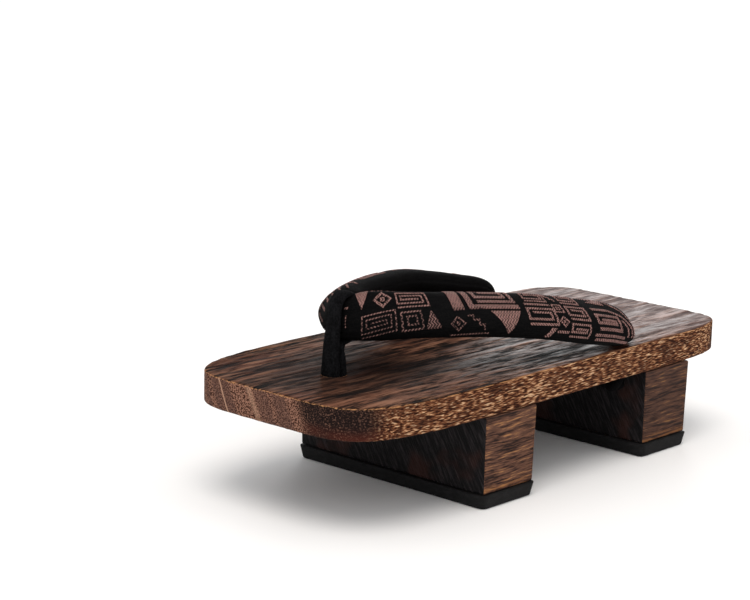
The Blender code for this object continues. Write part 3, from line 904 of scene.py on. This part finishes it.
def stitch_line(corners, width):
    """A line's rows of points across it, in millimetres, each with its height."""
    corners = np.array(corners, float)
    widths = np.broadcast_to(np.atleast_1d(width).astype(float), (len(corners),)).copy()
    runs = np.diff(corners, axis=0)
    lengths = np.linalg.norm(runs, axis=1)
    ways = runs / lengths[:, None]
    sides = np.column_stack((-ways[:, 1], ways[:, 0]))
    mitres = [sides[0]]
    for before, after in zip(sides, sides[1:]):
        mitres.append((before + after) / (1 + before @ after))
    mitres.append(sides[-1])
    lanes = max(2, math.ceil(widths.max() / STITCH) + 1)
    rows = [(corners[0] - ways[0] * THREAD_RIM, mitres[0], widths[0], False)]
    for k, length in enumerate(lengths):
        count = max(1, math.ceil(length / STITCH))
        for step in range(count):
            share = step / count
            spot = corners[k] + runs[k] * share
            way = mitres[k] if step == 0 else sides[k]
            rows.append((spot, way, widths[k] + (widths[k + 1] - widths[k]) * share, True))
    rows.append((corners[-1], mitres[-1], widths[-1], True))
    rows.append((corners[-1] + ways[-1] * THREAD_RIM, mitres[-1], widths[-1], False))
    spots, heights = [], []
    for spot, way, wide, raised in rows:
        rim = min(THREAD_RIM, wide * 0.3)
        inner = np.linspace(rim - wide / 2, wide / 2 - rim, lanes)
        for offset in (-wide / 2, *inner, wide / 2):
            spots.append(spot + way * offset)
            heights.append(THREAD_HEIGHT if raised and abs(offset) < wide / 2 else THREAD_ROOT)
    return np.array(spots), heights, len(rows), lanes + 2


def weave(name, layout, finish, side):
    """One mesh of raised figures on a branch; side is 1 on the near one and -1 on the far one."""
    points, marks, faces = [], [], []
    for block, start, shift in layout:
        for along, across, lean, lines in BLOCKS[block]:
            tall = max(y for corners, width in lines for x, y in corners)
            for corners, width in lines:
                spots, heights, rows, wide = stitch_line(corners, width)
                u = start + along + spots[:, 0] + lean * (tall - spots[:, 1])
                v = across + shift + spots[:, 1]
                where = on_cloth(u / 1000, v / 1000, np.array(heights))
                above = on_cloth(u[:1] / 1000, v[:1] / 1000, np.array((0.001,)))[0]
                first, second, third = where[0], where[1], where[wide]
                outward = np.dot(np.cross(second - first, third - first), above - first) > 0
                base = len(points)
                points += list(where * (side, 1, 1))
                marks += list(np.column_stack((u, v)) / 1000)
                for row in range(rows - 1):
                    for i in range(wide - 1):
                        a = base + row * wide + i
                        quad = (a, a + 1, a + wide + 1, a + wide)
                        if min(marks[corner][1] for corner in quad) < CLOTH_REACH:
                            faces.append(quad if outward == (side > 0) else quad[::-1])
    used, faces = np.unique(np.array(faces), return_inverse=True)
    faces = faces.reshape(-1, 4).tolist()
    make_piece(name, np.array(points)[used], faces, finish, np.array(marks)[used])


def make_thread():
    finish = Finish("pink_thread", Specular_IOR_Level=0.15)
    along, across = finish.cloth()
    chevron, hatch = 0.13, 0.14
    slant = along + (across / chevron).zigzag() * chevron
    twill = (slant * (2 * math.pi / hatch)).wave()
    fuzz = finish.specks(0.0009, 0.0009, 0.0009, 2.0, 0.7)
    wear = finish.noise(finish.join(along / 0.5, across / 0.5))
    # Painted shade: the figures below the ridge, nearer the nose than the bold block, are painted
    # dimmer
    lower_side_shade = across.between(0.1, 0.5) * (1 - along.between(6.6, 7.0))
    shade = (twill * 0.40 + fuzz * 1.5 + wear * 0.5 - lower_side_shade * 0.35).between(0.45, 1.55)
    thread = finish.mix(shade, colour(18, 9, 9), colour(156, 117, 110))
    finish.set(Base_Color=thread, Roughness=0.75)
    finish.bump(twill * 0.3 + fuzz * 0.5, 0.0004, 0.9)
    return finish


thread = make_thread()
weave("near_woven_figures", NEAR_LAYOUT, thread, 1)
weave("far_woven_figures", FAR_LAYOUT, thread, -1)


# The toe loop
# A band of plain black napped cloth folded over the strap's nose. Below it the two ends are laid
# together and stitched into a post, which passes down through the toe hole to a knot.
LOOP_POINTS = 64
LOOP_STEPS = 14
LOOP_SQUARENESS = 2.4
LOOP_FLUFF = 0.00006
TOE_KNOT_RADIUS = 0.0092
TOE_KNOT_DEPTH = 0.0100
TOE_KNOT_CORD = 0.0033

# The band's middle in millimetres from the middle of the nose, its half thickness and half width.
LOOP_PATH = np.array((
    # ahead, above, half thickness, half width
    (7.1, -42.0, 1.6, 2.6), (7.4, -32.0, 2.1, 4.2), (7.6, -24.6, 2.4, 4.9), (7.5, -18.0, 2.3, 4.6),
    (7.4, -11.5, 2.1, 4.3), (6.8, -6.0, 1.9, 3.9), (6.1, 0.0, 1.75, 3.6), (5.1, 6.4, 1.6, 3.5),
    (2.9, 9.8, 1.5, 3.8), (0.0, 10.7, 1.5, 4.1), (-2.9, 9.7, 1.5, 4.1), (-5.1, 6.3, 1.6, 4.0),
    (-6.0, 0.4, 1.7, 3.8), (-5.7, -4.8, 1.5, 3.5), (-4.2, -8.4, 1.3, 3.1), (-1.7, -10.1, 1.1, 2.8),
    (1.6, -10.9, 1.2, 2.9), (3.5, -13.4, 1.6, 3.7), (3.5, -18.0, 2.1, 4.5), (3.2, -24.6, 2.4, 4.8),
    (3.4, -32.0, 2.1, 4.2), (3.7, -42.0, 1.6, 2.6),
))


def make_loop_cloth():
    finish = Finish("napped_cloth", Specular_IOR_Level=0.06)
    nap = finish.specks(0.0006, 0.0006, 0.0009, 3.0, 0.7)
    pile = finish.specks(0.003, 0.003, 0.005)
    shade = (nap * 0.8 + pile * 0.4).between(0.45, 0.80)
    ground = finish.mix(shade, colour(4, 4, 5), colour(24, 24, 26))
    finish.set(Base_Color=ground, Roughness=0.86 + pile * 0.12)
    finish.bump(nap * 0.8 + pile * 0.4, 0.0006, 0.8)
    return finish


def make_loop(finish):
    """The band round the nose and the post below it, swept along one path, and the knot."""
    nose = strap_frames(np.array((1.0,)))[0][0]
    table = LOOP_PATH / 1000
    rows = np.vstack((2 * table[0] - table[1], table, 2 * table[-1] - table[-2]))
    places = np.linspace(1, len(table), (len(table) - 1) * LOOP_STEPS + 1)
    ahead, above, half_thick, half_wide = read_smoothly(rows, places).T
    middle = nose + np.column_stack((ahead * 0, ahead, above))
    run = np.gradient(middle, axis=0)
    run /= np.linalg.norm(run, axis=1)[:, None]
    sideways = np.array((1.0, 0, 0))
    outward = np.cross(sideways, run)
    angles = np.linspace(0, 2 * math.pi, LOOP_POINTS, endpoint=False)
    cosine, sine = np.cos(angles), np.sin(angles)
    power = 2 / LOOP_SQUARENESS
    across = np.sign(cosine) * np.abs(cosine) ** power
    through = np.sign(sine) * np.abs(sine) ** power
    fluff = np.random.default_rng(11).normal(0, LOOP_FLUFF, (len(places), LOOP_POINTS))
    wide = half_wide[:, None] * across + fluff * across
    thick = half_thick[:, None] * through + fluff * through
    points = middle[:, None] + wide[..., None] * sideways + thick[..., None] * outward[:, None]
    faces = loft_faces(len(places), LOOP_POINTS)
    loop = make_piece("toe_band", points.reshape(-1, 3), faces, finish)
    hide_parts("toe_loop")
    tie_knot(
        "toe_knot", TOE_HOLE, TOE_KNOT_RADIUS, TOE_KNOT_DEPTH, TOE_KNOT_CORD, "toe_loop", finish,
    )


make_loop(make_loop_cloth())


# The studio
# A pale floor under a white tent that is bright overhead and at the toe and dark behind the heel, a
# soft sun over the toe, and a lamp low behind the heel that draws the gloss on the board's face.
FLOOR_REACH = 30.0
FLOOR_LEVEL = -0.0002
SKY_BRIGHT_SIDE = (-0.30, 0.42, 1.0)
SKY_DARK, SKY_BRIGHT = 0.12, 1.10
LAMPS_AIM = Vector((0, 0, 0.04))
CAMERA_PLACE = (-0.645638, 0.776458, 0.298484)
CAMERA_RIGHT = Vector((-0.7365880, -0.6759460, 0.0231328))
CAMERA_UP = Vector((0.163025, -0.144248, 0.976020))
CAMERA_LENS = 107.25


def make_floor():
    corners = ((-1, -1), (1, -1), (1, 1), (-1, 1))
    points = [(x * FLOOR_REACH, y * FLOOR_REACH, FLOOR_LEVEL) for x, y in corners]
    mesh = bpy.data.meshes.new("studio_floor")
    mesh.from_pydata(points, [], [(0, 1, 2, 3)])
    finish = Finish("studio_paper", Roughness=0.9, Specular_IOR_Level=0.1)
    finish.set(Base_Color=(0.92, 0.92, 0.92, 1))
    mesh.materials.append(finish.material)
    floor = bpy.data.objects.new("studio_floor", mesh)
    bpy.context.scene.collection.objects.link(floor)


def light_sky():
    """A sky that fades from its bright side to its dark one."""
    world = bpy.data.worlds.new("studio_sky")
    world.use_nodes = True
    nodes, links = world.node_tree.nodes, world.node_tree.links
    toward = nodes.new("ShaderNodeVectorMath")
    toward.operation = "DOT_PRODUCT"
    toward.inputs[1].default_value = SKY_BRIGHT_SIDE
    fade = nodes.new("ShaderNodeMapRange")
    for socket, value in ((1, 0.0), (2, 0.80), (3, SKY_DARK), (4, SKY_BRIGHT)):
        fade.inputs[socket].default_value = value
    links.new(nodes.new("ShaderNodeTexCoord").outputs["Generated"], toward.inputs[0])
    links.new(toward.outputs["Value"], fade.inputs[0])
    links.new(fade.outputs[0], nodes["Background"].inputs["Strength"])
    nodes["Background"].inputs["Color"].default_value = (1, 1, 1, 1)
    bpy.context.scene.world = world


def add_lamp(name, kind, place, strength, **settings):
    lamp = bpy.data.lights.new(name, kind)
    lamp.energy = strength
    for key, value in settings.items():
        setattr(lamp, key, value)
    stand = bpy.data.objects.new(name, lamp)
    stand.location = place
    aim = LAMPS_AIM - Vector(place)
    stand.rotation_euler = aim.to_track_quat("-Z", "Y").to_euler()
    bpy.context.scene.collection.objects.link(stand)


make_floor()
light_sky()
bpy.context.scene.view_settings.view_transform = "Standard"
add_lamp("toe_sun", "SUN", (-0.30, 0.40, 1.3), 1.2, angle=math.radians(35), color=(1, 0.93, 0.87))
add_lamp("heel_lamp", "AREA", (0.92, -1.18, 0.43), 5.0, shape="RECTANGLE", size=0.5, size_y=0.30)

camera_data = bpy.data.cameras.new("camera")
camera_data.sensor_width = 36
camera_data.lens = CAMERA_LENS
camera_data.clip_start = 0.05
camera = bpy.data.objects.new("camera", camera_data)
turn = Matrix((CAMERA_RIGHT, CAMERA_UP, CAMERA_RIGHT.cross(CAMERA_UP))).transposed()
camera.matrix_world = Matrix.Translation(CAMERA_PLACE) @ turn.to_4x4()
bpy.context.scene.collection.objects.link(camera)
bpy.context.scene.camera = camera
